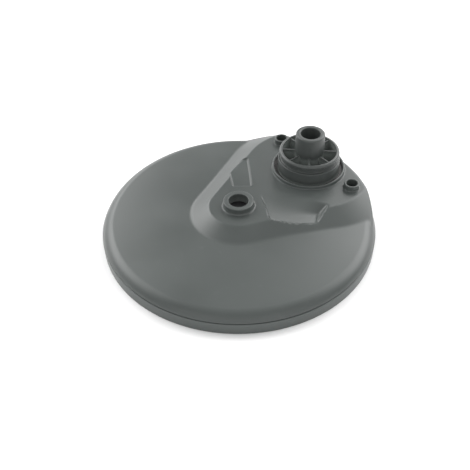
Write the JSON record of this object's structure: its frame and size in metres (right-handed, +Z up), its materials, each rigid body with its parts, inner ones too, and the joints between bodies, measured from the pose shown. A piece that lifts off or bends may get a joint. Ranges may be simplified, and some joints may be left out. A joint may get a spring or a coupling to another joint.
{
  "type": "surface cleaner",
  "caption": "Round flat surface cleaner head with a raised mound, a swivelling ribbed handle hub and a spinning two-arm water jet rotor under a shallow dome.",
  "frame": {"origin": "centre of the disc on the floor plane, on the rotor's axis", "axes": "+Z up; +Y from the disc's centre towards the handle hub; +X to the right seen from above with the hub at the top"},
  "size_m": [0.28, 0.28, 0.077],
  "materials": {
    "deck_plastic": "satin moulded, fine grain",
    "skirt_plastic": "satin moulded",
    "hub_plastic": "satin moulded",
    "rotor_plastic": "glass-filled, matt",
    "bearing_plastic": "smooth, waxy",
    "seal_rubber": "matt",
    "brass_fittings": "turned",
    "stainless": "drawn tube, brushed",
    "bearing_steel": "ground",
    "zinc_screws": "zinc plated"
  },
  "bodies": {
    "housing": {"dome_housing": "deck_plastic", "skirt_ring": "skirt_plastic", "hub_slip_ring": "rotor_plastic", "hub_snap_ring": "bearing_steel", "inlet_elbow": "brass_fittings", "inlet_o_rings": "seal_rubber", "inlet_bracket": "stainless", "bracket_screws": "zinc_screws", "elbow_screws": "zinc_screws", "feed_pipe": "stainless", "pipe_ferrules": "brass_fittings", "pipe_nuts": "brass_fittings", "pipe_saddle": "bearing_plastic", "saddle_screws": "zinc_screws", "swivel_body": "rotor_plastic", "swivel_gasket": "seal_rubber", "swivel_screws": "zinc_screws", "banjo_spindle": "stainless", "bearing_spacer": "stainless", "lower_inner_race": "bearing_steel", "upper_inner_race": "bearing_steel"},
    "hub": {"hub_spool": "hub_plastic"},
    "rotor": {"rotor_hub": "rotor_plastic", "upper_outer_race": "bearing_steel", "lower_outer_race": "bearing_steel", "upper_spindle_seal": "seal_rubber", "lower_spindle_seal": "seal_rubber", "bearing_circlip": "bearing_steel", "arm_lock_nuts": "brass_fittings", "spray_arm_right": "stainless", "spray_arm_left": "stainless", "nozzle_holder_right": "rotor_plastic", "nozzle_holder_left": "rotor_plastic", "nozzle_right": "brass_fittings", "nozzle_left": "brass_fittings", "nozzle_o_rings": "seal_rubber"},
    "upper_ball_set": {"upper_bearing_balls": "bearing_steel", "upper_ball_cage": "brass_fittings"},
    "lower_ball_set": {"lower_bearing_balls": "bearing_steel", "lower_ball_cage": "brass_fittings"}
  },
  "joints": [
    {"name": "hub_swivel", "type": "hinge", "parent": "housing", "child": "hub", "pos_m": [0, 0.0982, 0.031], "axis": [0, 0, 1], "continuous": true},
    {"name": "rotor_spin", "type": "hinge", "parent": "housing", "child": "rotor", "pos_m": [0, 0, 0.012], "axis": [0, 0, 1], "continuous": true},
    {"name": "upper_ball_orbit", "type": "hinge", "parent": "housing", "child": "upper_ball_set", "pos_m": [0, 0, 0.017], "axis": [0, 0, 1], "continuous": true},
    {"name": "lower_ball_orbit", "type": "hinge", "parent": "housing", "child": "lower_ball_set", "pos_m": [0, 0, 0.007], "axis": [0, 0, 1], "continuous": true}
  ],
  "couplings": [
    {"joint": "upper_ball_orbit", "follows": "rotor_spin", "ratio": 0.5759},
    {"joint": "lower_ball_orbit", "follows": "rotor_spin", "ratio": 0.5759}
  ]
}
